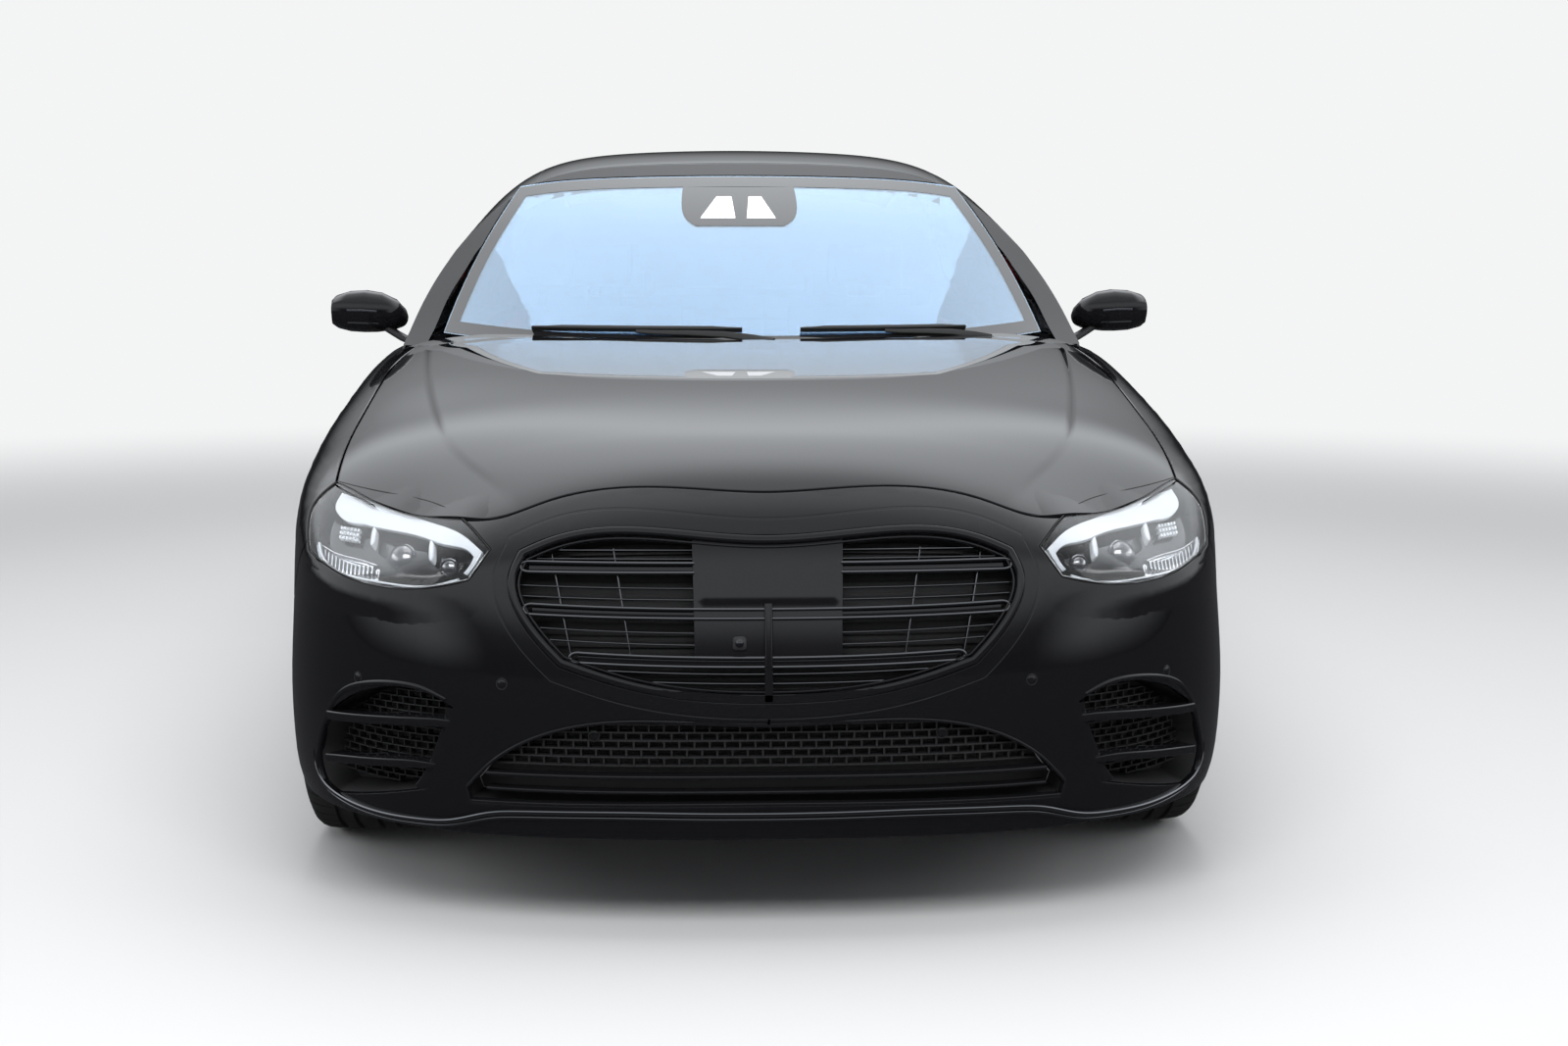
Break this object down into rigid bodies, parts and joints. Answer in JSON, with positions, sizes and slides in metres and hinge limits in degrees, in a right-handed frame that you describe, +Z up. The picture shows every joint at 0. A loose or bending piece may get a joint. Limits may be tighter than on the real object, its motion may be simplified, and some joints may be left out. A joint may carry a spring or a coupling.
{
  "type": "large saloon car",
  "caption": "Large black saloon car with opening doors, bonnet and boot lid, steered front wheels, free-rolling wheels and a furnished cabin.",
  "frame": {"origin": "on the ground under the middle of the car's bounding box", "axes": "+Z up, the car's nose towards -Y, the car's left side towards +X"},
  "size_m": [2.1128, 5.2897, 1.503],
  "materials": {
    "body_paint": "deep gloss black clear-coated paint",
    "window_glass": "tinted safety glass",
    "windscreen_glass": "laminated glass with a blue reflective layer",
    "black_trim": "gloss black moulded plastic",
    "dark_plastic": "grained dark plastic",
    "lamp_lens": "clear lens over bright modules",
    "lamp_red": "red lamp lens",
    "underbody": "satin black underbody coating",
    "cast_metal": "bare cast and machined metal",
    "exhaust_steel": "stainless steel pipe",
    "rim_alloy": "silver painted alloy with turned faces",
    "tyre_rubber": "black tyre rubber",
    "cabin_leather": "dark smooth leather with stitching",
    "cabin_trim": "soft dark cabin trim"
  },
  "bodies": {
    "body": {"side_frame_left": "body_paint", "side_frame_right": "body_paint", "roof_panel": "body_paint", "windscreen": "windscreen_glass", "rear_window": "window_glass", "rear_deck": "body_paint", "front_fender_left": "body_paint", "front_fender_right": "body_paint", "front_bumper": "body_paint", "grille": "black_trim", "lower_grilles": "dark_plastic", "rear_bumper": "body_paint", "headlights": "lamp_lens", "tail_lights": "lamp_red", "cowl": "dark_plastic", "wipers": "dark_plastic", "floor_pan": "underbody", "wheel_arch_liners": "dark_plastic", "engine": "cast_metal", "exhaust": "exhaust_steel", "front_subframe": "cast_metal", "rear_subframe": "cast_metal", "dashboard": "cabin_trim", "centre_console": "cabin_trim", "front_seats": "cabin_leather", "rear_seat": "cabin_leather"},
    "bonnet": {"bonnet": "body_paint"},
    "boot_lid": {"boot_lid": "body_paint", "boot_lights": "lamp_red"},
    "front_door_left": {"front_door_left": "body_paint", "front_door_glass_left": "window_glass", "mirror_left": "body_paint"},
    "front_door_right": {"front_door_right": "body_paint", "front_door_glass_right": "window_glass", "mirror_right": "body_paint"},
    "rear_door_left": {"rear_door_left": "body_paint", "rear_door_glass_left": "window_glass"},
    "rear_door_right": {"rear_door_right": "body_paint", "rear_door_glass_right": "window_glass"},
    "steering_wheel": {"steering_wheel": "cabin_leather"},
    "knuckle_left": {"knuckle_left": "cast_metal"},
    "knuckle_right": {"knuckle_right": "cast_metal"},
    "front_wheel_left": {"front_rim_left": "rim_alloy", "front_tyre_left": "tyre_rubber"},
    "front_wheel_right": {"front_rim_right": "rim_alloy", "front_tyre_right": "tyre_rubber"},
    "rear_wheel_left": {"rear_rim_left": "rim_alloy", "rear_tyre_left": "tyre_rubber"},
    "rear_wheel_right": {"rear_rim_right": "rim_alloy", "rear_tyre_right": "tyre_rubber"}
  },
  "joints": [
    {"name": "steering_left", "type": "hinge", "parent": "body", "child": "knuckle_left", "pos_m": [0.742, -1.7645, 0.356], "axis": [0, 0, 1], "range_deg": [-36, 36]},
    {"name": "steering_right", "type": "hinge", "parent": "body", "child": "knuckle_right", "pos_m": [-0.742, -1.7645, 0.356], "axis": [0, 0, 1], "range_deg": [-36, 36]},
    {"name": "steering_wheel_turn", "type": "hinge", "parent": "body", "child": "steering_wheel", "pos_m": [0.37, -0.5065, 0.808], "axis": [0, 0.9615, 0.2747], "range_deg": [-505, 505]},
    {"name": "front_wheel_left_spin", "type": "hinge", "parent": "knuckle_left", "child": "front_wheel_left", "pos_m": [0.802, -1.7645, 0.356], "axis": [1, 0, 0], "continuous": true},
    {"name": "front_wheel_right_spin", "type": "hinge", "parent": "knuckle_right", "child": "front_wheel_right", "pos_m": [-0.802, -1.7645, 0.356], "axis": [1, 0, 0], "continuous": true},
    {"name": "rear_wheel_left_spin", "type": "hinge", "parent": "body", "child": "rear_wheel_left", "pos_m": [0.802, 1.4515, 0.356], "axis": [1, 0, 0], "continuous": true},
    {"name": "rear_wheel_right_spin", "type": "hinge", "parent": "body", "child": "rear_wheel_right", "pos_m": [-0.802, 1.4515, 0.356], "axis": [1, 0, 0], "continuous": true},
    {"name": "front_door_left_hinge", "type": "hinge", "parent": "body", "child": "front_door_left", "pos_m": [0.92203, -0.8245, 0.65], "axis": [0, 0, -1], "range_deg": [0, 65]},
    {"name": "front_door_right_hinge", "type": "hinge", "parent": "body", "child": "front_door_right", "pos_m": [-0.92203, -0.8245, 0.65], "axis": [0, 0, 1], "range_deg": [0, 65]},
    {"name": "rear_door_left_hinge", "type": "hinge", "parent": "body", "child": "rear_door_left", "pos_m": [0.92445, 0.3765, 0.65], "axis": [0, 0, -1], "range_deg": [0, 65]},
    {"name": "rear_door_right_hinge", "type": "hinge", "parent": "body", "child": "rear_door_right", "pos_m": [-0.92445, 0.3765, 0.65], "axis": [0, 0, 1], "range_deg": [0, 65]},
    {"name": "bonnet_hinge", "type": "hinge", "parent": "body", "child": "bonnet", "pos_m": [0, -0.9895, 0.98626], "axis": [-1, 0, 0], "range_deg": [0, 45]},
    {"name": "boot_hinge", "type": "hinge", "parent": "body", "child": "boot_lid", "pos_m": [0, 2.0215, 1.1079], "axis": [1, 0, 0], "range_deg": [0, 75]}
  ],
  "couplings": [
    {"joint": "steering_right", "follows": "steering_left", "ratio": 1},
    {"joint": "steering_wheel_turn", "follows": "steering_left", "ratio": 14}
  ]
}
